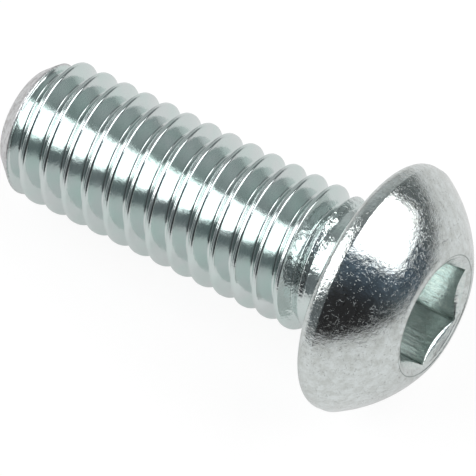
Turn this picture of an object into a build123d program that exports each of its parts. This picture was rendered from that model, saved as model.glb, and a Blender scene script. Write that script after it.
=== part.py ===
"""Button head screw, M6 x 16, with a hexagon socket and a right-hand coarse thread.

It is one cold-formed piece of steel: the head is upset and its socket punched, the thread is
rolled on the shank, and its last turns run out on a plain neck under the head. The screw lies
on a level surface on the rim of its head and on the first full crest at its tip, with its head
towards +X. The origin is on that surface, below the middle of the screw's length. Lengths are
in millimetres and angles in degrees.
"""

from build123d import *
import os
from math import asin, atan2, ceil, cos, degrees, hypot, radians, sin, sqrt, tan

# ---- Driving dimensions -----------------------------------------------------------------------

# Thread, M6 coarse, tolerance class 6g
thread_diameter = 6.0  # nominal
thread_pitch = 1.0  # travel along the axis in one turn
flank_angle = 60.0  # between the two flanks of the groove
crest_allowance = 0.11  # crests below the nominal diameter, on the diameter
pitch_allowance = 0.06  # pitch diameter below its nominal value
root_flat = 0.2  # width of the groove's flat bottom
groove_phase = 0.944  # travel of the groove along the axis, as if the screw were turned

# Shank
shank_length = 16.0  # bearing face to the end of the tip
tip_chamfer_length = 0.95  # along the axis, from the flat end to the first full crest
tip_inset = 0.265  # flat end inside the thread's root, on the radius
neck_length = 1.3  # bearing face to the foot of the last, falling crest
neck_allowance = 0.06  # neck over the pitch diameter, as the blank before rolling
neck_fillet = 0.3  # between the neck and the bearing face
crest_fade = 0.8  # length over which the crest falls to the neck
groove_fade = 0.7  # length over which the groove's bottom rises to the neck

# Head
head_diameter = 10.36  # over the rim
head_height = 3.08  # bearing face to the top
land_diameter = 5.52  # flat ring on the top, between the dome and the socket's mouth
rim_round = 0.4  # rounding of the rim's lower edge
rim_band = 0.32  # height of the band from the rounding to the crease where the dome starts
rim_draft = 0.03  # how far the band leans in towards the crease

# Hexagon socket
socket_width = 4.05  # across flats
socket_depth = 2.05  # top of the head to the end of the flats
socket_dish = 0.45  # depth of the conical floor below the flats
socket_turn = 1.1  # turn of the hexagon about the axis, from one flat facing straight up
mouth_margin = 0.15  # countersink beyond the hexagon's corners
mouth_angle = 126.0  # full angle of the countersink

pick_tolerance = 0.001  # for choosing edges by their radius

# ---- Worked-out dimensions ----------------------------------------------------------------------

flank_slope = tan(radians(flank_angle / 2))  # half width gained for each unit of depth
sharp_height = thread_pitch / 2 / flank_slope  # of the thread's full triangle

crest_radius = (thread_diameter - crest_allowance) / 2
pitch_radius = (thread_diameter - pitch_allowance) / 2 - sharp_height * 3 / 8
root_radius = pitch_radius - (thread_pitch / 2 - root_flat) / 2 / flank_slope
neck_radius = pitch_radius + neck_allowance / 2
tip_radius = root_radius - tip_inset

head_radius = head_diameter / 2
rim_height = rim_round + rim_band
crease_radius = head_radius - rim_draft
land_radius = land_diameter / 2
corner_radius = socket_width / 2 / cos(radians(30))
mouth_radius = corner_radius + mouth_margin
mouth_depth = mouth_radius / tan(radians(mouth_angle / 2))
socket_floor = head_height - socket_depth

# The dome is part of a sphere centred on the axis, from the crease to the flat ring on the top.
dome_middle = (rim_height + head_height) / 2
dome_centre = dome_middle - (crease_radius**2 - land_radius**2) / 2 / (head_height - rim_height)
dome_radius = hypot(crease_radius, rim_height - dome_centre)
dome_middle_radius = sqrt(dome_radius**2 - (dome_middle - dome_centre) ** 2)

# The groove is cut one turn after another, from clear of the tip to inside the neck.
groove_start = -shank_length - thread_pitch * (2 - groove_phase)
groove_turns = ceil((-neck_length - groove_start) / thread_pitch)
groove_mouth_radius = crest_radius + thread_pitch / 20
groove_mouth_half_width = thread_pitch / 4 + (groove_mouth_radius - pitch_radius) * flank_slope

# ---- Resting pose and planes ----------------------------------------------------------------------

# The rounded edge of the rim and the first full crest both touch the surface.
rest_span = shank_length - tip_chamfer_length + rim_round
rest_step = head_radius - rim_round - crest_radius
rest_tilt = atan2(rest_step, rest_span) + asin(rim_round / hypot(rest_step, rest_span))
seat_height = rim_round + (head_radius - rim_round) * cos(rest_tilt) - rim_round * sin(rest_tilt)
tip_reach = shank_length * cos(rest_tilt) + tip_radius * sin(rest_tilt)
head_reach = head_height * cos(rest_tilt) + land_radius * sin(rest_tilt)

seat = Vector((tip_reach - head_reach) / 2, 0, seat_height)  # middle of the bearing face
head_direction = Vector(cos(rest_tilt), 0, sin(rest_tilt))
screw_axis = Axis(seat, head_direction)
# In the profile plane, X runs along the screw from the bearing face and Y is the radius upwards.
profile_plane = Plane(origin=seat, x_dir=head_direction, z_dir=(0, -1, 0))
# The cross plane lies in the bearing face, with its Y upwards.
cross_plane = Plane(origin=seat, x_dir=(0, 1, 0), z_dir=head_direction)


def turned_outline(*corners):
    """The half section of a turned solid, from its (distance along the screw, radius) corners."""
    with BuildSketch(profile_plane) as outline:
        with BuildLine():
            Polyline(*corners, close=True)
        make_face()
    return outline.sketch


def groove_turn():
    """The first right-hand turn of the thread's groove, as a solid that stands clear of the tip."""
    with BuildLine() as path:
        Helix(
            pitch=thread_pitch,
            height=thread_pitch,
            radius=pitch_radius,
            center=seat + head_direction * groove_start,
            direction=head_direction,
        )
    section = turned_outline(
        (groove_start - groove_mouth_half_width, groove_mouth_radius),
        (groove_start - root_flat / 2, root_radius),
        (groove_start + root_flat / 2, root_radius),
        (groove_start + groove_mouth_half_width, groove_mouth_radius),
    )
    return sweep(section, path=path.wire(), is_frenet=True, mode=Mode.PRIVATE)


with BuildPart() as button_head_screw:
    # Threaded rod: as thick as the crests, chamfered at the tip and falling to the neck
    rod = turned_outline(
        (-shank_length, 0),
        (-shank_length, tip_radius),
        (-shank_length + tip_chamfer_length, crest_radius),
        (-neck_length - crest_fade, crest_radius),
        (-neck_length, neck_radius),
        (-neck_length, 0),
    )
    revolve(rod, axis=screw_axis)
    with Locations(*[head_direction * (thread_pitch * turn) for turn in range(groove_turns)]):
        add(groove_turn(), mode=Mode.SUBTRACT)

    # Neck, and inside the last turns the cone on which the groove's bottom rises and runs out
    runout_slope = (neck_radius - root_radius) / groove_fade
    neck = turned_outline(
        (-neck_length - neck_radius / runout_slope, 0),
        (-neck_length, neck_radius),
        (0, neck_radius),
        (0, 0),
    )
    revolve(neck, axis=screw_axis)

    # Head: flat bearing face, rounded rim, leaning band, crease, dome and flat top
    with BuildSketch(profile_plane):
        with BuildLine():
            bearing = Line((0, 0), (0, head_radius - rim_round))
            rounding = CenterArc((rim_round, head_radius - rim_round), rim_round, 180, -90)
            band = Line(rounding @ 1, (rim_height, crease_radius))
            dome = ThreePointArc(band @ 1, (dome_middle, dome_middle_radius), (head_height, land_radius))
            top = Line(dome @ 1, (head_height, 0))
            Line(top @ 1, bearing @ 0)
        make_face()
    revolve(axis=screw_axis)

    # Fillet where the neck meets the bearing face
    rings = button_head_screw.edges().filter_by(GeomType.CIRCLE)
    neck_rings = rings.filter_by(lambda ring: abs(ring.radius - neck_radius) < pick_tolerance)
    fillet(neck_rings.sort_by_distance(seat)[0], neck_fillet)

    # Hexagon socket with its conical floor
    with BuildSketch(cross_plane.offset(head_height)):
        RegularPolygon(socket_width / 2, 6, major_radius=False, rotation=socket_turn)
    extrude(amount=-socket_depth, mode=Mode.SUBTRACT)
    floor_cone = turned_outline(
        (socket_floor, 0),
        (socket_floor, socket_width / 2),
        (socket_floor - socket_dish, 0),
    )
    revolve(floor_cone, axis=screw_axis, mode=Mode.SUBTRACT)

    # Countersunk mouth, which cuts a crescent above each flat
    mouth_cone = turned_outline(
        (head_height, 0),
        (head_height, mouth_radius),
        (head_height - mouth_depth, 0),
    )
    revolve(mouth_cone, axis=screw_axis, mode=Mode.SUBTRACT)

button_head_screw.part.label = "button_head_screw"

print("rest tilt", round(degrees(rest_tilt), 3), "degrees, bearing face centre", seat)

os.makedirs("parts", exist_ok=True)
export_step(button_head_screw.part, "parts/button_head_screw.step")
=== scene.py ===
"""Button head screw, M6 x 16: the screw's visible mesh and finish, the floor, the lights and the camera.

The screw is one dense mesh in the place of the CAD solid and of the same form. Its sizes repeat
those of the CAD model, in millimetres; Blender's own units are metres.
"""

import math

import bmesh
import bpy
import numpy as np
from mathutils import Matrix, Vector


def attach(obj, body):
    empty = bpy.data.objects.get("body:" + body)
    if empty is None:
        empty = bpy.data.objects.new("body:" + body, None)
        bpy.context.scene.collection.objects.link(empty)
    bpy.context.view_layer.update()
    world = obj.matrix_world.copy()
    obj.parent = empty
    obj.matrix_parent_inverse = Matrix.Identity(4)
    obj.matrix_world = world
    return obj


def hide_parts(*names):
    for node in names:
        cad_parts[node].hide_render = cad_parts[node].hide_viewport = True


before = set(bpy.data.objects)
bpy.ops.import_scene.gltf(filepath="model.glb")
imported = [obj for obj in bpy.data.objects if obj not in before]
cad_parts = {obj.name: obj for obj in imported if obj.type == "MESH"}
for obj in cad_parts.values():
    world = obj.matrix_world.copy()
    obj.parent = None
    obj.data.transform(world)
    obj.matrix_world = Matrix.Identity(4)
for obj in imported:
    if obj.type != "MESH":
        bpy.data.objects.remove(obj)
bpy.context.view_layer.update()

millimetre = 0.001  # in Blender's metres

# ---- Screw, in millimetres and degrees, as in the CAD model --------------------------------------

thread_diameter = 6.0
thread_pitch = 1.0
flank_angle = 60.0
crest_allowance = 0.11
pitch_allowance = 0.06
groove_phase = 0.944
shank_length = 16.0
tip_chamfer_length = 0.95
root_flat = 0.2
tip_inset = 0.265
neck_length = 1.3
neck_allowance = 0.06
neck_fillet = 0.3
crest_fade = 0.8
groove_fade = 0.7
head_diameter = 10.36
head_height = 3.08
land_diameter = 5.52
rim_round = 0.4
rim_band = 0.32
rim_draft = 0.03
socket_width = 4.05
socket_depth = 2.05
socket_dish = 0.45
socket_turn = 1.1
mouth_margin = 0.15
mouth_angle = 126.0

# Small forms that only this mesh has
crest_round = 0.04  # on the tip's side of each crest
crest_shoulder = 0.09  # on the head's side
seam_offset = -0.012  # from a crest's middle to the rolled seam along it
seam_half_width = 0.02
seam_depth = 0.009
root_round = 0.1  # of the groove's bottom
tip_round = 0.12  # of the edge round the tip's flat end
fade_blend = 0.03  # softness of the edges where the thread meets the tip's chamfer and the neck
land_round = 0.4  # between the dome and the flat ring on the top
mouth_round = 0.3  # between the flat ring and the countersink
burr_radius = 2.61  # of the thin raised ring round the mouth
burr_half_width = 0.045
burr_height = 0.021
mouth_crease_depth = 0.01  # of the crease between the burr and the mouth
corner_round = 0.1  # of the hexagon's corners
least_lip_drop = 0.004  # how far the steep lip reaches below the countersink at the corners
lip_drop = 0.05  # how much further it reaches at the middle of each flat
lip_angle = 50.0  # its slope
brow_round = 0.3  # between the lip and the countersink
lip_foot = 0.02  # from the lip's lower edge to the flare of the walls
entry_depth = 0.45  # of the slight flare
entry_flare = 0.02  # how much wider the walls are at its top
drag_depth = 0.006  # of the fine lines that the punch drew along the socket's walls
drag_fade = 8.0  # degrees from each corner over which they fade out

# Rows and columns of the mesh
sectors = 6  # one for each corner of the hexagon
sector_turn = 360 / sectors
sector_angles = [0, 0.7, 1.8, 3.4] + list(np.linspace(5.2, 54.8, 25)) + [56.6, 58.2, 59.3]
tip_shares = (0, 0.35, 0.7, 0.93)  # of the tip's radius, on its flat end
tip_edge = (tip_round * 0.08, 0.02)  # above the flat end, and inside the chamfer's foot
thread_start = tip_round * 0.5  # above the flat end
thread_overlap = 0.05  # how far the rows of the thread reach onto the neck
flank_shares = (0.08, 0.5, 0.92)  # of each flank's height
neck_rows = (-1.0, -0.65)  # along the axis
face_rows = (3.6, 4.3)  # distance from the axis, on the bearing face
band_end = (0.03, 0.003)  # below the rim's crease, and outside it
crease_gap = 0.2  # degrees of the dome's arc from the crease to its first ring
land_gap = 1.2  # degrees of the arc from its last ring to the flat top's edge
wall_end = 0.04  # above the socket's floor, down to which the rows of the wall are spread
socket_foot = ((0.03, 0), (0.005, 0.01), (0, 0.04))  # above the floor's edge, and inside the wall
merge_distance = 2e-7  # metres
least_edge = 1e-7  # metres

# Sizes that follow from these
flank_slope = math.tan(math.radians(flank_angle / 2))
flank_turn = 90 - flank_angle / 2  # degrees from the crest's top to a flank
sharp_height = thread_pitch / 2 / flank_slope
crest_radius = (thread_diameter - crest_allowance) / 2
pitch_radius = (thread_diameter - pitch_allowance) / 2 - sharp_height * 3 / 8
root_radius = pitch_radius - (thread_pitch / 2 - root_flat) / 2 / flank_slope
neck_radius = pitch_radius + neck_allowance / 2
tip_radius = root_radius - tip_inset
chamfer_rise = (crest_radius - tip_radius) / tip_chamfer_length
head_radius = head_diameter / 2
rim_height = rim_round + rim_band
crease_radius = head_radius - rim_draft
land_radius = land_diameter / 2
corner_radius = socket_width / 2 / math.cos(math.radians(sector_turn / 2))
mouth_radius = corner_radius + mouth_margin
mouth_slope = 90 - mouth_angle / 2
socket_floor = head_height - socket_depth
dome_middle = (rim_height + head_height) / 2
dome_centre = dome_middle - (crease_radius**2 - land_radius**2) / 2 / (head_height - rim_height)
dome_radius = math.hypot(crease_radius, rim_height - dome_centre)

# The screw lies on the rim of its head and on the last full crest at the tip
rest_span = shank_length - tip_chamfer_length + rim_round
rest_step = head_radius - rim_round - crest_radius
rest_lean = math.asin(rim_round / math.hypot(rest_step, rest_span))
rest_tilt = math.atan2(rest_step, rest_span) + rest_lean  # in radians
seat_height = (
    rim_round + (head_radius - rim_round) * math.cos(rest_tilt) - rim_round * math.sin(rest_tilt)
)
tip_reach = shank_length * math.cos(rest_tilt) + tip_radius * math.sin(rest_tilt)
head_reach = head_height * math.cos(rest_tilt) + land_radius * math.sin(rest_tilt)
seat = np.array([(tip_reach - head_reach) / 2, 0, seat_height])
head_direction = np.array([math.cos(rest_tilt), 0, math.sin(rest_tilt)])
upward = np.array([-math.sin(rest_tilt), 0, math.cos(rest_tilt)])
sideward = np.array([0, -1, 0])

# Angles of the columns about the axis, from straight up towards the camera's side
first_corner = sector_turn / 2 + socket_turn
corner_angles = [first_corner + sector_turn * sector for sector in range(sectors)]
angles = np.array([corner + angle for corner in corner_angles for angle in sector_angles])
columns = len(angles)


def soft_min(a, b, softness):
    """The smaller of two, with the crossing rounded over the given softness."""
    gap = np.clip(0.5 + 0.5 * (b - a) / softness, 0, 1)
    return b + (a - b) * gap - softness * gap * (1 - gap)


def soft_max(a, b, softness):
    """The larger of two, rounded in the same way."""
    return -soft_min(-a, -b, softness)


def crest_edge(radius, side):
    """Rows of one rounded edge of the crest, from the flank to the top; side is -1 towards the tip."""
    top = pitch_radius + sharp_height / 2
    half_width = (top - crest_radius) * flank_slope
    start = half_width - radius * math.tan(math.radians(flank_turn / 2))
    rows = []
    for degrees in np.linspace(flank_turn, 0, 4):
        turn = math.radians(degrees)
        away = start + radius * math.sin(turn)
        rows.append((side * away, crest_radius - radius * (1 - math.cos(turn)), 0))
    return rows


def thread_section():
    """Rows of one pitch: offset along the axis from a crest, radius, share of the seam's depth."""
    before = crest_edge(crest_round, -1)
    after = crest_edge(crest_shoulder, 1)[::-1]
    seam = [
        (seam_offset + seam_half_width * place, crest_radius, (1 + math.cos(math.pi * place)) / 2)
        for place in (-0.8, -0.4, 0, 0.4, 0.8)
    ]
    # the groove's bottom is an arc that touches both flanks, which meet at 60 degrees
    middle = pitch_radius - sharp_height / 2 + 2 * root_round
    root = []
    for degrees in np.linspace(-flank_turn, flank_turn, 7):
        turn = math.radians(degrees)
        along = thread_pitch / 2 + root_round * math.sin(turn)
        root.append((along, middle - root_round * math.cos(turn), 0))
    rows = before + seam + after
    brow = after[-1]
    for share in flank_shares:
        rows.append(tuple(brow[i] + (root[0][i] - brow[i]) * share for i in range(3)))
    rows += root
    foot = root[-1]
    next_brow = (thread_pitch + before[0][0], before[0][1], 0)
    for share in flank_shares:
        rows.append(tuple(foot[i] + (next_brow[i] - foot[i]) * share for i in range(3)))
    return rows


def shank_radius(along, radius):
    """The thread's radius, brought down to the tip's chamfer and run out on the neck."""
    chamfer = tip_radius + (along + shank_length) * chamfer_rise
    fade = neck_radius - (along + neck_length) * (crest_radius - neck_radius) / crest_fade
    runout = neck_radius + (along + neck_length) * (neck_radius - root_radius) / groove_fade
    radius = soft_min(radius, chamfer, fade_blend)
    radius = soft_min(radius, fade, fade_blend)
    return soft_max(radius, runout, fade_blend)


def shank_rows():
    """Rows that follow the helix from the tip's chamfer to the neck, held at both ends."""
    section = thread_section()
    lowest = -shank_length + thread_start
    highest = -neck_length + thread_overlap
    # the crest is half a pitch from the groove, and the rows start two turns below the tip
    start = -shank_length - thread_pitch * (2 + 0.5 - groove_phase)
    turns = math.ceil((highest - start) / thread_pitch) + 1
    rows = []
    for turn in range(turns):
        run = turn + angles / 360  # turns of the helix from its start
        # two waves make the seam uneven along the helix
        depth = seam_depth * (0.7 + 0.2 * np.sin(5.3 * run) + 0.1 * np.sin(19 * run + 1))
        for offset, radius, share in section:
            along = np.clip(start + thread_pitch * run + offset, lowest, highest)
            rows.append((along, shank_radius(along, radius - depth * share)))
    return rows, len(section)


def ring(along, radius):
    """A row at one place along the axis and one distance from it."""
    return np.full(columns, float(along)), np.full(columns, float(radius))


def arc_rings(middle, radius, start, stop, count):
    """Rings along an arc about a middle (along, radius); angles from the outward radial to the head."""
    rings = []
    for degrees in np.linspace(start, stop, count):
        turn = math.radians(degrees)
        rings.append(ring(middle[0] + radius * math.sin(turn), middle[1] + radius * math.cos(turn)))
    return rings


def tip_rings():
    """The flat end, and the first ring of its rounded edge."""
    rise, inset = tip_edge
    rings = [ring(-shank_length, tip_radius * share) for share in tip_shares]
    rings.append(ring(-shank_length + rise, tip_radius - inset))
    return rings


def rounded_corner(corner, arriving, leaving, radius, count):
    """Rings along an arc that rounds a corner; the directions are in degrees from the outward radial."""
    half = math.radians(leaving - arriving) / 2
    reach = radius * math.tan(abs(half))
    rings = []
    for share in np.linspace(0, 1, count):
        turn = math.radians(arriving) + 2 * half * share
        start = math.radians(arriving)
        side = math.copysign(radius, half)
        along = corner[0] - reach * math.sin(start) + side * (math.cos(start) - math.cos(turn))
        outward = corner[1] - reach * math.cos(start) + side * (math.sin(turn) - math.sin(start))
        rings.append(ring(along, outward))
    return rings


def burr_rings():
    """The uneven ring that the punch raised on the flat top, and the crease between it and the mouth."""
    turn = np.radians(angles)
    # two waves make its height uneven round the mouth
    height = burr_height * (0.75 + 0.25 * np.sin(3 * turn + 0.6) * np.sin(7 * turn + 2))
    rings = []
    for place in (1, 0.6, 0.25, 0, -0.25, -0.6):
        rise = height * (1 + math.cos(math.pi * place)) / 2
        rings.append((head_height + rise, np.full(columns, burr_radius + burr_half_width * place)))
    rings.append(ring(head_height - mouth_crease_depth, burr_radius - burr_half_width * 0.8))
    rings.append(ring(head_height, burr_radius - burr_half_width))
    return rings


def head_rings():
    """The neck, its fillet, the bearing face, the rim, the dome and the flat top."""
    fillet = (-neck_fillet, neck_radius + neck_fillet)
    rim = (rim_round, head_radius - rim_round)
    drop, outset = band_end
    crease = math.degrees(math.asin((rim_height - dome_centre) / dome_radius))
    land = math.degrees(math.acos(land_radius / dome_radius))
    rings = [ring(along, neck_radius) for along in neck_rows]
    rings += arc_rings(fillet, -neck_fillet, 0, -90, count=7)
    rings += [ring(0, radius) for radius in face_rows]
    rings += arc_rings(rim, rim_round, -90, 0, count=9)
    rings.append(ring(rim_height - drop, crease_radius + outset))
    rings += arc_rings((dome_centre, 0), dome_radius, crease + crease_gap, land - land_gap, count=26)
    rings += rounded_corner((head_height, land_radius), land + 90, 180, land_round, count=5)
    rings += burr_rings()
    rings += rounded_corner((head_height, mouth_radius), 180, 180 + mouth_slope, mouth_round, count=6)
    return rings


def degrees_from_corner():
    """Angle between each column and the nearest corner of the hexagon."""
    return sector_turn / 2 - np.abs((angles - first_corner) % sector_turn - sector_turn / 2)


def hexagon_radius():
    """Distance from the axis to the hexagon's wall, for each column, with rounded corners."""
    half_sector = math.radians(sector_turn / 2)
    from_corner = np.radians(degrees_from_corner())
    wall = socket_width / 2 / np.cos(half_sector - from_corner)
    centre = (socket_width / 2 - corner_round) / math.cos(half_sector)
    inside = np.clip(corner_round**2 - (centre * np.sin(from_corner)) ** 2, 0, None)
    arc = centre * np.cos(from_corner) + np.sqrt(inside)
    return np.where(centre * np.sin(from_corner) < corner_round / 2, arc, wall)


def drag_lines():
    """Offsets of the wall, for each column, that draw fine uneven lines along the socket."""
    uneven = np.random.default_rng(4).uniform(-1, 1, columns)
    return drag_depth * uneven * np.clip(degrees_from_corner() / drag_fade, 0, 1)


def mouth_along(radius):
    """Place along the axis of the countersink at this radius."""
    return head_height - (mouth_radius - radius) * math.tan(math.radians(mouth_slope))


def socket_rings():
    """The countersink, the lip above each flat, the walls and the dished floor."""
    wall = hexagon_radius() + drag_lines()
    corner = wall.max()
    drop = lip_drop * (corner - wall) / (corner - wall.min()) + least_lip_drop
    slope, lip_slope = math.radians(mouth_slope), math.radians(lip_angle)
    width = drop / (math.tan(lip_slope) - math.tan(slope))
    brow = wall + width
    foot = mouth_along(wall) - drop
    # the rounding takes at most half of the lip's length
    reach = np.minimum(brow_round * math.tan((lip_slope - slope) / 2), width / math.cos(lip_slope) / 2)
    start = mouth_radius - mouth_round * math.tan(slope / 2) * math.cos(slope)
    rings = []
    for share in (0.5, 0.97):
        radius = start + (brow + reach * math.cos(slope) - start) * share
        rings.append((mouth_along(radius), radius))
    for share in (0, 0.25, 0.5, 0.75, 1):
        before = reach * (1 - share) ** 2
        after = reach * share**2
        along = mouth_along(brow) + before * math.sin(slope) - after * math.sin(lip_slope)
        rings.append((along, brow + before * math.cos(slope) - after * math.cos(lip_slope)))
    for share in (0.2, 0.85, 1):
        radius = brow - reach * math.cos(lip_slope) * (1 - share) - width * share
        rings.append((foot + (radius - wall) * math.tan(lip_slope), radius))
    rings.append((foot - lip_foot, wall))
    # the punch left the walls slightly flared towards the mouth
    for share in (0.2, 0.4, 0.6, 0.8, 1):
        inset = entry_flare * (1 - (1 - share) ** 2)
        rings.append((foot - lip_foot - entry_depth * share, wall - inset))
    inner = wall - entry_flare
    flare_end = foot - lip_foot - entry_depth
    for share in (0.3, 0.6, 0.9):
        rings.append((flare_end + (socket_floor + wall_end - flare_end) * share, inner))
    for rise, inset in socket_foot:
        rings.append((np.full(columns, socket_floor + rise), inner - inset))
    for share in (0.95, 0.7, 0.4, 0.15, 0):
        radius = socket_width / 2 * share
        rings.append(ring(socket_floor - socket_dish * (1 - share), radius))
    return rings


def screw_grid():
    """Points of the closed grid, row after row from the tip's middle to the socket's, and its faces."""
    tip = tip_rings()
    shank, pitch_rows = shank_rows()
    head = head_rings()
    rows = tip + shank + head + socket_rings()
    along = np.array([row[0] for row in rows])
    radius = np.array([row[1] for row in rows])
    turn = np.radians(angles)
    outward = np.cos(turn)[:, None] * upward + np.sin(turn)[:, None] * sideward
    points = seat + along[..., None] * head_direction + radius[..., None] * outward[None]

    # where the columns close, a row of the helix meets the row one pitch further on
    first, last = len(tip), len(tip) + len(shank) - 1
    met_row = np.arange(len(rows))
    in_shank = (met_row >= first) & (met_row <= last)
    met_row[in_shank] = np.minimum(met_row[in_shank] + pitch_rows, last)
    shank_end, head_end = last + 1, last + len(head)
    faces = []
    zones = []  # of each face: 0 on the shank, 1 on the head, 2 in the socket
    for column in range(columns):
        after = (column + 1) % columns
        for row in range(len(rows) - 1):
            over = row + 1
            side, side_over = (row, over) if after else (met_row[row], met_row[over])
            near, near_over = row * columns + column, over * columns + column
            faces.append((near, side * columns + after, side_over * columns + after, near_over))
            zones.append(int(row > shank_end) + int(row > head_end))
    return points.reshape(-1, 3), faces, zones


def weighted_normals(mesh):
    """Vertex normals that follow the larger faces, so that flats stay flat up to their rounded edges."""
    polygons = mesh.polygons
    normals = np.empty(len(polygons) * 3)
    areas = np.empty(len(polygons))
    polygons.foreach_get("normal", normals)
    polygons.foreach_get("area", areas)
    normals = normals.reshape(-1, 3) * areas[:, None]
    totals = np.empty(len(polygons), int)
    polygons.foreach_get("loop_total", totals)
    corners = np.empty(len(mesh.loops), int)
    mesh.loops.foreach_get("vertex_index", corners)
    owner = np.repeat(np.arange(len(polygons)), totals)
    total = np.zeros((len(mesh.vertices), 3))
    np.add.at(total, corners, normals[owner])
    return total / np.linalg.norm(total, axis=1)[:, None]


def build_screw():
    """The dense mesh, in the place of the CAD solid."""
    points, faces, zones = screw_grid()
    mesh = bpy.data.meshes.new("screw")
    mesh.from_pydata((points * millimetre).tolist(), [], faces)
    mesh.polygons.foreach_set("material_index", zones)
    edit = bmesh.new()
    edit.from_mesh(mesh)
    bmesh.ops.remove_doubles(edit, verts=edit.verts, dist=merge_distance)
    bmesh.ops.dissolve_degenerate(edit, edges=edit.edges, dist=least_edge)
    edit.to_mesh(mesh)
    edit.free()
    mesh.polygons.foreach_set("use_smooth", [True] * len(mesh.polygons))
    mesh.normals_split_custom_set_from_vertices(weighted_normals(mesh).tolist())
    screw = bpy.data.objects.new("screw", mesh)
    bpy.context.scene.collection.objects.link(screw)
    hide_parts("button_head_screw")
    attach(screw, "root")
    return screw


# ---- Materials -----------------------------------------------------------------------------------

thread_tone = (0.645, 0.735, 0.715, 1)
thread_tint = (0.685, 0.735, 0.73, 1)
sheared_tone = (0.72, 0.725, 0.73, 1)  # of the tip's end
dirt_tone = (0.5, 0.49, 0.49, 1)  # of the specks on the tip's end
head_tone = (0.735, 0.78, 0.775, 1)
head_stain = (0.59, 0.62, 0.6, 1)
scratch_tone = (0.42, 0.44, 0.43, 1)
socket_tone = (0.775, 0.815, 0.79, 1)
socket_streak = (0.64, 0.715, 0.7, 1)
# painted shade, darkening the socket's corners and the crease round the mouth
painted_shade_tone = (0.3, 0.35, 0.33, 1)
thread_roughness = (0.12, 0.18)
sheared_roughness = 0.36  # of the tip's end
head_roughness = (0.06, 0.12)
socket_roughness = 0.225
pit_slope = (0.02, 0.2)  # from a pit's bottom to its edge, in shares of the pits' spacing
worm_share = 0.6  # of the scratches' tone, in the short curved marks

# Levels of a noise, from the first tone or finish to the second
mottle_levels = (0.35, 0.65)
speck_levels = (0.45, 0.65)
gloss_levels = (0.3, 0.7)
stain_levels = (0.4, 0.62)
streak_levels = (0.38, 0.62)
line_level = 0.5  # along the middle of each curved line
line_edge = (0.004, 0.016)  # away from that level, from the line to the bare metal
line_patches = (0.54, 0.6)  # from bare metal to the patches that have curved lines

# Where the surface changes: places along the axis unless said otherwise, in millimetres
sheared_depth = (0.05, 0.15)  # below the chamfer's cone, from sheared to rolled metal
chamfer_end = (-shank_length + 0.8, -shank_length + 1.0)
rough_end = (-shank_length + 0.35, -shank_length + 0.65)  # from the rough end to the thread
runout_start = (-2.5, -1.8)  # from the smooth thread to the rough run-out
runout_stop = (-1.5, -1.1)  # from the run-out to the neck
face_edge = (-0.35, -0.1)  # from the neck's fillet to the bearing face
band_edge = (0.6, 1.0)  # from the rim's band to the dome
top_edge = (head_height - 0.05, head_height)  # from the dome to the flat top
crease_shade_top = (head_height - 0.1, head_height - 0.05)  # above it, the crease round the mouth is darkened with painted shade
crease_shade_width = (0.008, 0.028)  # distance from the middle of the crease, from painted shade to bare metal
corner_shade_reach = (2.25, 2.31)  # distance from the axis, from bare walls to corners darkened with painted shade
below_mouth = (head_height - 0.18, head_height - 0.11)  # from the corners' painted shade to the countersink


def new_node(tree, kind, inputs=None, **settings):
    """A shader node with its settings; an input is given a value, or the socket that feeds it."""
    node = tree.nodes.new("ShaderNode" + kind)
    for name, value in settings.items():
        setattr(node, name, value)
    for name, value in (inputs or {}).items():
        if isinstance(value, bpy.types.NodeSocket):
            tree.links.new(value, node.inputs[name])
        else:
            node.inputs[name].default_value = value
    return node


def math_node(tree, operation, *values):
    return new_node(tree, "Math", dict(enumerate(values)), operation=operation).outputs[0]


def screw_coordinates(tree):
    """Millimetres from the bearing face's centre, with x along the axis towards the head."""
    place = new_node(tree, "TexCoord").outputs["Object"]
    inputs = {
        "Vector": place,
        "Location": (seat * millimetre).tolist(),
        "Rotation": (0, -rest_tilt, 0),
        "Scale": (millimetre, millimetre, millimetre),
    }
    return new_node(tree, "Mapping", inputs, vector_type="TEXTURE").outputs[0]


def stretched(tree, place, along, across):
    """The place, scaled along the screw's axis and across it."""
    inputs = {0: place, 1: (along, across, across)}
    return new_node(tree, "VectorMath", inputs, operation="MULTIPLY").outputs[0]


def noise(tree, place, scale=1, detail=2.0, roughness=0.5):
    inputs = {"Vector": place, "Scale": scale, "Detail": detail, "Roughness": roughness}
    return new_node(tree, "TexNoise", inputs).outputs["Fac"]


def remap(tree, value, low, high, to_low=0.0, to_high=1.0, smooth=False):
    """The value, turned from the range low to high into the range to_low to to_high, and held there."""
    inputs = {"Value": value, "From Min": low, "From Max": high, "To Min": to_low, "To Max": to_high}
    kind = "SMOOTHSTEP" if smooth else "LINEAR"
    return new_node(tree, "MapRange", inputs, interpolation_type=kind).outputs[0]


def bump(tree, height, millimetres, under=None):
    inputs = {"Height": height, "Distance": millimetres * millimetre}
    if under:
        inputs["Normal"] = under
    return new_node(tree, "Bump", inputs).outputs[0]


def along_axis(tree, place):
    """Place along the screw's axis, in millimetres."""
    return new_node(tree, "SeparateXYZ", {0: place}).outputs[0]


def axis_distance(tree, place):
    """Distance from the screw's axis, in millimetres."""
    across = stretched(tree, place, 0, 1)
    return new_node(tree, "VectorMath", {0: across}, operation="LENGTH").outputs["Value"]


def wandering(tree, place, scale, reach):
    """The place shifted about by up to half the reach, so that cells and dots lose their even shapes."""
    shift = new_node(tree, "TexNoise", {"Vector": place, "Scale": scale, "Detail": 1}).outputs["Color"]
    scaled = stretched(tree, shift, reach, reach)
    return new_node(tree, "VectorMath", {0: place, 1: scaled}, operation="ADD").outputs[0]


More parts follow.
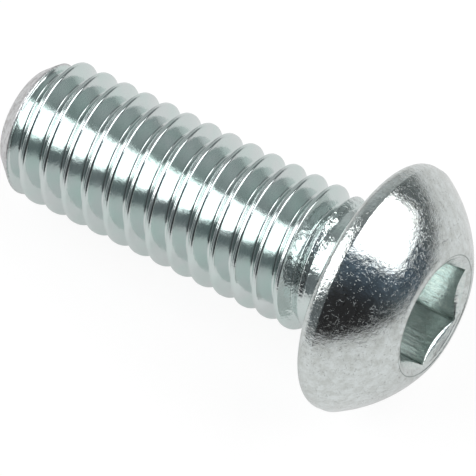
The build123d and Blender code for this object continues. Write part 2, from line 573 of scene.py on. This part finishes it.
def pits(tree, place, spacing, power):
    """Small separate pits, each of its own depth; fewer are deep as the power rises."""
    cells = new_node(tree, "TexVoronoi", {"Vector": place, "Scale": 1 / spacing})
    depth = new_node(tree, "SeparateColor", {0: cells.outputs["Color"]}).outputs[0]
    bowl = remap(tree, cells.outputs["Distance"], *pit_slope, to_low=-1, to_high=0, smooth=True)
    return math_node(tree, "MULTIPLY", bowl, math_node(tree, "POWER", depth, power))


def squiggles(tree, place, scale=1):
    """Short thin curved lines, 1 along their middle and 0 elsewhere."""
    level = noise(tree, place, scale, detail=3, roughness=0.6)
    off_line = math_node(tree, "ABSOLUTE", math_node(tree, "SUBTRACT", level, line_level))
    line = remap(tree, off_line, *line_edge, to_low=1, to_high=0)
    patches = noise(tree, wandering(tree, place, scale=1, reach=5), scale=2.6, detail=1)
    return math_node(tree, "MULTIPLY", line, remap(tree, patches, *line_patches))


def blended(tree, first, second, share, blend_type="MIX"):
    inputs = {0: share, 6: first, 7: second}
    return new_node(tree, "Mix", inputs, data_type="RGBA", blend_type=blend_type).outputs[2]


def zinc_shader(name, tone):
    """A metal material of this tone, its node tree and its shader."""
    material = bpy.data.materials.new(name)
    material.use_nodes = True
    shader = material.node_tree.nodes["Principled BSDF"]
    shader.inputs["Base Color"].default_value = tone
    shader.inputs["Metallic"].default_value = 1
    return material, material.node_tree, shader


def thread_zinc():
    """Smooth rolled threads, with a rough sheared end at the tip and a rough run-out at the neck."""
    material, tree, shader = zinc_shader("zinc_rolled_thread", thread_tone)
    place = screw_coordinates(tree)
    along = along_axis(tree, place)
    # the chamfer's cone, as a radius at each place along the axis
    cone_at_face = tip_radius + shank_length * chamfer_rise
    cone = math_node(tree, "MULTIPLY_ADD", along, chamfer_rise, cone_at_face)
    below_cone = math_node(tree, "SUBTRACT", cone, axis_distance(tree, place))
    on_cone = remap(tree, below_cone, *sheared_depth, to_low=1, to_high=0)
    near_end = remap(tree, along, *chamfer_end, to_low=1, to_high=0)
    sheared = math_node(tree, "MULTIPLY", on_cone, near_end)
    sheared = math_node(tree, "MAXIMUM", sheared, remap(tree, along, *rough_end, to_low=0.8, to_high=0))
    before_neck = remap(tree, along, *runout_stop, to_low=1, to_high=0.3)
    runout = math_node(tree, "MULTIPLY", remap(tree, along, *runout_start), before_neck)

    mottle = noise(tree, place, scale=0.9, detail=3)
    tone = blended(tree, thread_tone, thread_tint, remap(tree, mottle, *mottle_levels))
    specks = noise(tree, place, scale=5, detail=3, roughness=0.7)
    end_tone = blended(tree, sheared_tone, dirt_tone, remap(tree, specks, *speck_levels))
    tree.links.new(blended(tree, tone, end_tone, sheared), shader.inputs["Base Color"])
    smooth = remap(tree, noise(tree, place, scale=1.2), *gloss_levels, *thread_roughness)
    roughness = remap(tree, sheared, 0, 1, to_low=smooth, to_high=sheared_roughness)
    tree.links.new(roughness, shader.inputs["Roughness"])

    waves = noise(tree, stretched(tree, place, along=2.4, across=4.2), detail=3, roughness=0.65)
    rough = noise(tree, place, scale=4.5, detail=2, roughness=0.6)
    rough = math_node(tree, "MULTIPLY", rough, math_node(tree, "MAXIMUM", sheared, runout))
    waved = bump(tree, waves, millimetres=0.006)
    tree.links.new(bump(tree, rough, millimetres=0.05, under=waved), shader.inputs["Normal"])
    return material


def head_zinc():
    """Pitted, slightly stained plating on the cold-formed head."""
    material, tree, shader = zinc_shader("zinc_formed_head", head_tone)
    place = screw_coordinates(tree)
    along = along_axis(tree, place)
    stain = noise(tree, place, scale=2.4, detail=6, roughness=0.75)
    scratch = squiggles(tree, stretched(tree, place, along=3.2, across=0.9))
    worm = squiggles(tree, place, scale=3)
    worn = math_node(tree, "MAXIMUM", scratch, math_node(tree, "MULTIPLY", worm, worm_share))
    # painted shade darkens the crease round the mouth
    off_crease = math_node(tree, "SUBTRACT", axis_distance(tree, place), burr_radius - burr_half_width)
    off_crease = math_node(tree, "ABSOLUTE", off_crease)
    in_crease = remap(tree, off_crease, *crease_shade_width, to_low=1, to_high=0)
    crease_shade = math_node(tree, "MULTIPLY", in_crease, remap(tree, along, *crease_shade_top))
    tone = blended(tree, head_tone, head_stain, remap(tree, stain, *stain_levels))
    tone = blended(tree, tone, scratch_tone, worn)
    tree.links.new(blended(tree, tone, painted_shade_tone, crease_shade), shader.inputs["Base Color"])
    roughness = remap(tree, noise(tree, place, scale=2.5), *gloss_levels, *head_roughness)
    tree.links.new(roughness, shader.inputs["Roughness"])

    swell = noise(tree, place, scale=1.3, detail=1)
    grain = noise(tree, wandering(tree, place, scale=4, reach=0.25), scale=6, detail=4, roughness=0.7)
    spots = pits(tree, wandering(tree, place, scale=14, reach=0.09), spacing=0.12, power=3)
    # the bearing face, the rim's band and the flat top are rougher, and the neck is smoother
    below_dome = remap(tree, along, *band_edge, to_low=1, to_high=0.05)
    rim = math_node(tree, "MULTIPLY", remap(tree, along, *face_edge), below_dome)
    rougher = math_node(tree, "MAXIMUM", rim, remap(tree, along, *top_edge, to_low=0, to_high=0.6))
    rough = noise(tree, place, scale=4.5, detail=3, roughness=0.65)
    rough = math_node(tree, "MULTIPLY", rough, rougher)
    normal = bump(tree, swell, millimetres=0.009)
    normal = bump(tree, grain, millimetres=0.010, under=normal)
    normal = bump(tree, spots, millimetres=0.009, under=normal)
    normal = bump(tree, math_node(tree, "MULTIPLY", worm, -1), millimetres=0.0025, under=normal)
    tree.links.new(bump(tree, rough, millimetres=0.025, under=normal), shader.inputs["Normal"])
    return material


def socket_zinc():
    """Punched walls, with drag lines and streaks along the axis, and painted shade in the hexagon's
    corners.
    """
    material, tree, shader = zinc_shader("zinc_punched_socket", socket_tone)
    place = screw_coordinates(tree)
    shader.inputs["Roughness"].default_value = socket_roughness
    # painted shade darkens the hexagon's corners below the countersink
    corner_shade_mask = remap(tree, axis_distance(tree, place), *corner_shade_reach)
    inside = remap(tree, along_axis(tree, place), *below_mouth, to_low=1, to_high=0)
    corner_shade = math_node(tree, "MULTIPLY", corner_shade_mask, inside)
    streaks = noise(tree, stretched(tree, place, along=1.6, across=7), detail=4, roughness=0.7)
    tone = blended(tree, socket_tone, socket_streak, remap(tree, streaks, *streak_levels))
    tree.links.new(blended(tree, tone, painted_shade_tone, corner_shade), shader.inputs["Base Color"])
    drag = noise(tree, stretched(tree, place, along=0.7, across=5.5), detail=3, roughness=0.65)
    grain = noise(tree, place, scale=5, detail=2, roughness=0.6)
    dragged = bump(tree, drag, millimetres=0.02)
    tree.links.new(bump(tree, grain, millimetres=0.008, under=dragged), shader.inputs["Normal"])
    return material


screw = build_screw()
for finish in (thread_zinc, head_zinc, socket_zinc):
    screw.data.materials.append(finish())

# ---- Camera, floor and lights: lengths in metres, the camera's in millimetres --------------------

camera_azimuth = 33.29
camera_elevation = 61.05
camera_distance = 216.81
camera_aim_right = -5.0132  # of the bearing face's centre
camera_aim_up = 1.7406
focal_length = 424.93
sensor_width = 36

floor_radius = 2.2
floor_drop = 0.00002  # below the level on which the screw rests
floor_tone = 0.13
floor_glow = 0.9  # share of the floor's white that no shadow takes away
mirrored_tone = 0.4  # of the floor that the metal mirrors
mirrored_glow = 0.43
lit_reach = 0.02  # distance at which the mirrored floor starts to darken
dim_reach = 0.1  # distance at which it is darkest
dim_share = 0.55  # of its glow there

fill_light = 0.12  # of the world, where it isn't seen or mirrored
softbox_azimuth = 94.5  # to either side of the camera
softbox_elevation = 47
softbox_roll = -11
softbox_distance = 0.6
softbox_width = 0.87  # shares of the distance
softbox_height = 0.935
softbox_brightness = 2.8

# The room's azimuths are from the camera, and its edges are distances from the middle in a direction
room_radius = 2.0
darkest_azimuth = 12
darkest_elevation = 12
near_half = (-0.3 * room_radius, 0.1 * room_radius)  # from the far half to the near half
horizon_height = 0.6  # below this the near half of the room is lighter
horizon_gain = 0.25
dimmed_azimuth = 108  # the middle of a dimmer part of the walls, to the right
dimmed_elevation = 14
dimmed_edge = (0.6 * room_radius, 0.85 * room_radius)
dimmed_share = 0.6
blue_filter = (0.88, 1.07, 1.34, 1)  # of the walls beside the right softbox, on the camera's side
blue_edge = (0.5 * room_radius, 0.8 * room_radius)  # towards the softbox
blue_start = (0.1 * room_radius, 0.5 * room_radius)  # towards the darkest part
# from the far side, 0, to behind the camera, 1
room_tones = [
    (0.0, (0.36, 0.36, 0.36, 1)),
    (0.06, (0.42, 0.43, 0.43, 1)),
    (0.12, (0.52, 0.55, 0.55, 1)),
    (0.24, (0.34, 0.37, 0.37, 1)),
    (0.36, (0.23, 0.25, 0.255, 1)),
    (0.58, (0.165, 0.18, 0.19, 1)),
    (0.75, (0.145, 0.16, 0.166, 1)),
    (0.88, (0.098, 0.108, 0.11, 1)),
    (0.93, (0.052, 0.056, 0.06, 1)),
    (0.97, (0.03, 0.029, 0.03, 1)),
]

scene = bpy.context.scene
camera_turn = math.radians(camera_azimuth)
rightwards = np.array([math.cos(camera_turn), math.sin(camera_turn), 0])
nearwards = np.array([math.sin(camera_turn), -math.cos(camera_turn), 0])  # level, towards the camera


def direction(azimuth, elevation):
    """A unit vector; azimuth 0 is towards the camera and 90 to its right."""
    azimuth, elevation = math.radians(azimuth), math.radians(elevation)
    level = nearwards * math.cos(azimuth) + rightwards * math.sin(azimuth)
    return level * math.cos(elevation) + np.array([0, 0, math.sin(elevation)])


def photo_camera():
    """A long lens that looks down on the screw, held level."""
    back = direction(0, camera_elevation)
    up = np.cross(back, rightwards)
    place = seat + camera_aim_right * rightwards + camera_aim_up * up + camera_distance * back
    data = bpy.data.cameras.new("camera")
    data.lens = focal_length
    data.sensor_width = sensor_width
    data.clip_start = 0.01
    camera = bpy.data.objects.new("camera", data)
    camera.matrix_world = Matrix(np.column_stack([rightwards, up, back]).tolist()).to_4x4()
    camera.location = Vector((place * millimetre).tolist())
    scene.collection.objects.link(camera)
    scene.camera = camera


def seen_by(tree, *kinds):
    """A value of 1 for rays of these kinds, such as camera rays and glossy rays, and 0 for others."""
    path = new_node(tree, "LightPath")
    seen = path.outputs[kinds[0]]
    for kind in kinds[1:]:
        seen = math_node(tree, "MAXIMUM", seen, path.outputs[kind])
    return seen


def white_floor():
    """The floor: white to the camera, grey and darker outwards in the metal."""
    bpy.ops.mesh.primitive_circle_add(
        vertices=96, radius=floor_radius, fill_type="NGON", location=(0, 0, -floor_drop)
    )
    floor = bpy.context.object
    floor.name = "floor"
    material = bpy.data.materials.new("white_floor")
    material.use_nodes = True
    tree = material.node_tree
    shader = tree.nodes["Principled BSDF"]
    by_camera = seen_by(tree, "Is Camera Ray")
    seen_tone = remap(tree, by_camera, 0, 1, to_low=mirrored_tone, to_high=floor_tone)
    tree.links.new(seen_tone, shader.inputs["Base Color"])
    shader.inputs["Roughness"].default_value = 1
    shader.inputs["Specular IOR Level"].default_value = 0
    place = new_node(tree, "TexCoord").outputs["Object"]
    distance = new_node(tree, "VectorMath", {0: place}, operation="LENGTH").outputs["Value"]
    outer_glow = mirrored_glow * dim_share
    mirrored = remap(tree, distance, lit_reach, dim_reach, to_low=mirrored_glow, to_high=outer_glow)
    direct = math_node(tree, "MULTIPLY", by_camera, floor_glow)
    by_metal = seen_by(tree, "Is Glossy Ray", "Is Transmission Ray")
    indirect = math_node(tree, "MULTIPLY", by_metal, mirrored)
    strength = math_node(tree, "MAXIMUM", direct, indirect)
    glow = new_node(tree, "Emission", {"Strength": strength})
    both = new_node(tree, "AddShader", {0: shader.outputs[0], 1: glow.outputs[0]})
    tree.links.new(both.outputs[0], tree.nodes["Material Output"].inputs["Surface"])
    floor.data.materials.append(material)


def studio_world():
    """White where a ray sees it as the background, and a plain fill elsewhere."""
    world = bpy.data.worlds.new("studio")
    world.use_nodes = True
    tree = world.node_tree
    seen = seen_by(tree, "Is Camera Ray", "Is Glossy Ray", "Is Transmission Ray")
    background = tree.nodes["Background"]
    background.inputs["Color"].default_value = (1, 1, 1, 1)
    strength = remap(tree, seen, 0, 1, to_low=fill_light, to_high=1)
    tree.links.new(strength, background.inputs["Strength"])
    scene.world = world


def softbox(name, azimuth):
    """A flat rectangular light that faces the screw."""
    towards = direction(azimuth, softbox_elevation)
    level = direction(azimuth + 90, 0)
    rise = np.cross(towards, level)
    roll = math.radians(softbox_roll)
    across = level * math.cos(roll) + rise * math.sin(roll)
    data = bpy.data.lights.new(name, "AREA")
    data.shape = "RECTANGLE"
    data.size = softbox_width * softbox_distance
    data.size_y = softbox_height * softbox_distance
    data.energy = softbox_brightness * math.pi * data.size * data.size_y
    light = bpy.data.objects.new(name, data)
    axes = np.column_stack([across, np.cross(towards, across), towards])
    light.matrix_world = Matrix(axes.tolist()).to_4x4()
    light.location = Vector((towards * softbox_distance).tolist())
    light.visible_camera = False
    scene.collection.objects.link(light)


def distance_towards(tree, place, azimuth, elevation):
    """How far the place lies from the room's middle in this direction."""
    inputs = {0: place, 1: direction(azimuth, elevation).tolist()}
    return new_node(tree, "VectorMath", inputs, operation="DOT_PRODUCT").outputs["Value"]


def wall_color(tree, place, nearness):
    """The room's tones, from the far side to behind the camera, bluer beside one softbox."""
    ramp = new_node(tree, "ValToRGB", {0: remap(tree, nearness, -room_radius, room_radius)})
    tones = ramp.color_ramp
    tones.elements[0].position, tones.elements[0].color = room_tones[0]
    tones.elements[1].position, tones.elements[1].color = room_tones[-1]
    for position, color in room_tones[1:-1]:
        tones.elements.new(position).color = color
    boxward = distance_towards(tree, place, softbox_azimuth, softbox_elevation)
    beside_box = remap(tree, boxward, *blue_edge, smooth=True)
    bluing = math_node(tree, "MULTIPLY", beside_box, remap(tree, nearness, *blue_start))
    return blended(tree, ramp.outputs["Color"], blue_filter, bluing, blend_type="MULTIPLY")


def wall_strength(tree, place, nearness):
    """Lighter towards the floor in the near half, and dimmer in one part to the right."""
    height = new_node(tree, "SeparateXYZ", {0: place}).outputs[2]
    low = remap(tree, height, 0, horizon_height, to_low=horizon_gain, to_high=0, smooth=True)
    gain = math_node(tree, "MULTIPLY_ADD", low, remap(tree, nearness, *near_half), 1.0)
    aside = distance_towards(tree, place, dimmed_azimuth, dimmed_elevation)
    dimming = remap(tree, aside, *dimmed_edge, to_low=1, to_high=dimmed_share, smooth=True)
    return math_node(tree, "MULTIPLY", gain, dimming)


def dark_room():
    """The walls and ceiling that the metal mirrors: black behind the camera, grey on the far side."""
    bpy.ops.mesh.primitive_uv_sphere_add(segments=64, ring_count=32, radius=room_radius)
    room = bpy.context.object
    room.name = "room"
    room.visible_camera = False
    room.visible_diffuse = False
    room.visible_shadow = False
    material = bpy.data.materials.new("room_walls")
    material.use_nodes = True
    tree = material.node_tree
    tree.nodes.remove(tree.nodes["Principled BSDF"])
    place = new_node(tree, "TexCoord").outputs["Object"]
    nearness = distance_towards(tree, place, darkest_azimuth, darkest_elevation)
    color = wall_color(tree, place, nearness)
    strength = wall_strength(tree, place, nearness)
    glow = new_node(tree, "Emission", {"Color": color, "Strength": strength})
    tree.links.new(glow.outputs[0], tree.nodes["Material Output"].inputs["Surface"])
    room.data.materials.append(material)


white_floor()
studio_world()
dark_room()
softbox("right_softbox", softbox_azimuth)
softbox("left_softbox", -softbox_azimuth)
photo_camera()
scene.view_settings.view_transform = "Standard"
